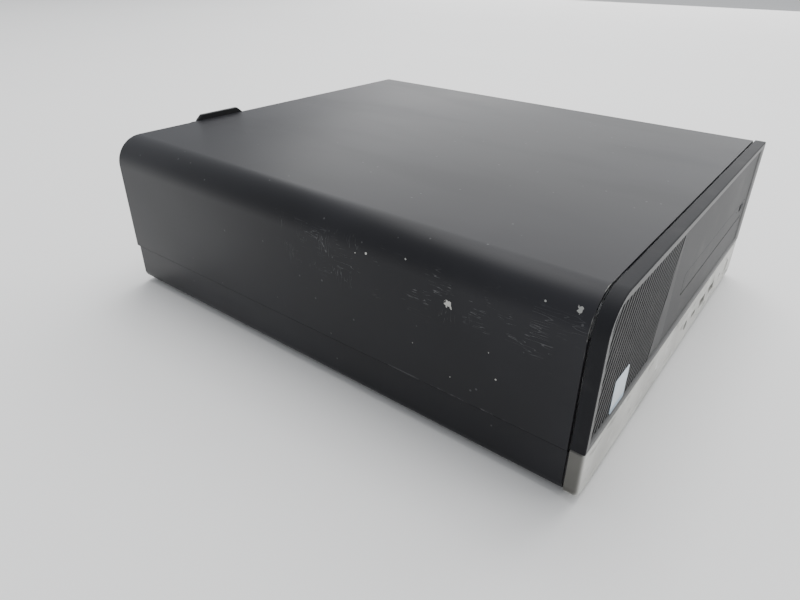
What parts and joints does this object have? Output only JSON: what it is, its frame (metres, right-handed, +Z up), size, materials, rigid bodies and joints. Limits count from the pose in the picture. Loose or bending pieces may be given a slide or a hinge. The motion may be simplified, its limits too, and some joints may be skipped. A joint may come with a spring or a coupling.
{
  "type": "small form factor desktop computer",
  "caption": "Low desktop computer case with lift-off steel cover, rounded long edge, perforated front grille, slim tray drive and light chin strip.",
  "frame": {"origin": "on the resting surface, under the middle of the outline", "axes": "+X to the right seen from the front, +Y towards the rear ports, +Z up; the front bezel faces -Y"},
  "size_m": [0.2708, 0.331, 0.1024],
  "materials": {
    "cover_paint": "satin black baked paint, scuffed",
    "zinc_steel": "spangled zinc-coated sheet",
    "black_plastic": "fine-textured black moulding",
    "grille_plastic": "perforated black moulding",
    "chin_plastic": "metallic grey moulding",
    "gloss_black": "glossy black moulding",
    "lens": "clear light pipe",
    "rubber": "matte rubber",
    "board_green": "solder-masked glass-fibre board",
    "connector_metal": "plated connector shell",
    "socket_plastic": "moulded connector body",
    "module_board": "memory board with chips",
    "aluminium_fins": "extruded aluminium",
    "cast_aluminium": "cast and machined aluminium",
    "nickel": "nickel-plated"
  },
  "bodies": {
    "chassis": {"base_pan": "cover_paint", "rubber_feet": "rubber", "front_plate": "zinc_steel", "rear_panel": "zinc_steel", "padlock_loop": "zinc_steel", "front_bezel": "black_plastic", "bezel_grille": "grille_plastic", "bezel_chin": "chin_plastic", "activity_light": "lens", "front_usb_ports": "connector_metal", "type_c_port": "connector_metal", "headset_jack": "socket_plastic", "front_port_board": "board_green", "speaker": "socket_plastic", "optical_drive_case": "zinc_steel", "hard_drive_body": "cast_aluminium", "hard_drive_lid": "aluminium_fins", "hard_drive_board": "board_green", "drive_cage": "zinc_steel", "supply_case": "zinc_steel", "supply_circuit": "board_green", "supply_fan_frame": "black_plastic", "mains_inlet": "gloss_black", "motherboard": "board_green", "board_standoffs": "nickel", "board_screws": "nickel", "processor_socket": "nickel", "processor": "nickel", "processor_heatsink": "aluminium_fins", "fan_frame": "black_plastic", "fan_duct": "gloss_black", "memory_slots": "socket_plastic", "memory_modules": "module_board", "card_slots": "socket_plastic", "slot_covers": "zinc_steel", "slot_clamp": "zinc_steel", "storage_card": "module_board", "cell_holder": "socket_plastic", "coin_cell": "nickel", "chipset_heatsink": "aluminium_fins", "board_sockets": "socket_plastic", "capacitors": "aluminium_fins", "ethernet_port": "connector_metal", "rear_usb_ports": "connector_metal", "display_ports": "connector_metal", "audio_jacks": "socket_plastic", "port_shield": "connector_metal"},
    "cover": {"top_cover": "cover_paint", "latch_grip": "black_plastic"},
    "latch": {"latch_slider": "gloss_black"},
    "button": {"power_button": "chin_plastic"},
    "tray": {"optical_tray": "black_plastic", "optical_tray_front": "black_plastic", "laser_pickup": "cast_aluminium"},
    "eject": {"eject_button": "gloss_black"},
    "spindle": {"disc_spindle": "gloss_black"},
    "fan": {"fan_rotor": "gloss_black"},
    "supply_fan": {"supply_fan_rotor": "gloss_black"}
  },
  "joints": [
    {"name": "cover_lift", "type": "slide", "parent": "chassis", "child": "cover", "axis": [0, 0, 1], "range_m": [0, 0.13]},
    {"name": "latch_slide", "type": "slide", "parent": "cover", "child": "latch", "axis": [1, 0, 0], "range_m": [0, 0.006], "stiffness_N_per_m": 120},
    {"name": "power_press", "type": "slide", "parent": "chassis", "child": "button", "axis": [0, 1, 0], "range_m": [0, 0.0015], "stiffness_N_per_m": 400},
    {"name": "tray_slide", "type": "slide", "parent": "chassis", "child": "tray", "axis": [0, -1, 0], "range_m": [0, 0.12]},
    {"name": "eject_press", "type": "slide", "parent": "tray", "child": "eject", "axis": [0, 1, 0], "range_m": [0, 0.001], "stiffness_N_per_m": 300},
    {"name": "spindle_spin", "type": "hinge", "parent": "tray", "child": "spindle", "pos_m": [0.045, -0.0962, 0.057], "axis": [0, 0, 1], "continuous": true},
    {"name": "fan_spin", "type": "hinge", "parent": "chassis", "child": "fan", "pos_m": [-0.083, -0.1315, 0.051], "axis": [0, 1, 0], "continuous": true},
    {"name": "supply_fan_spin", "type": "hinge", "parent": "chassis", "child": "supply_fan", "pos_m": [0.083, 0.1415, 0.0364], "axis": [0, 1, 0], "continuous": true}
  ]
}
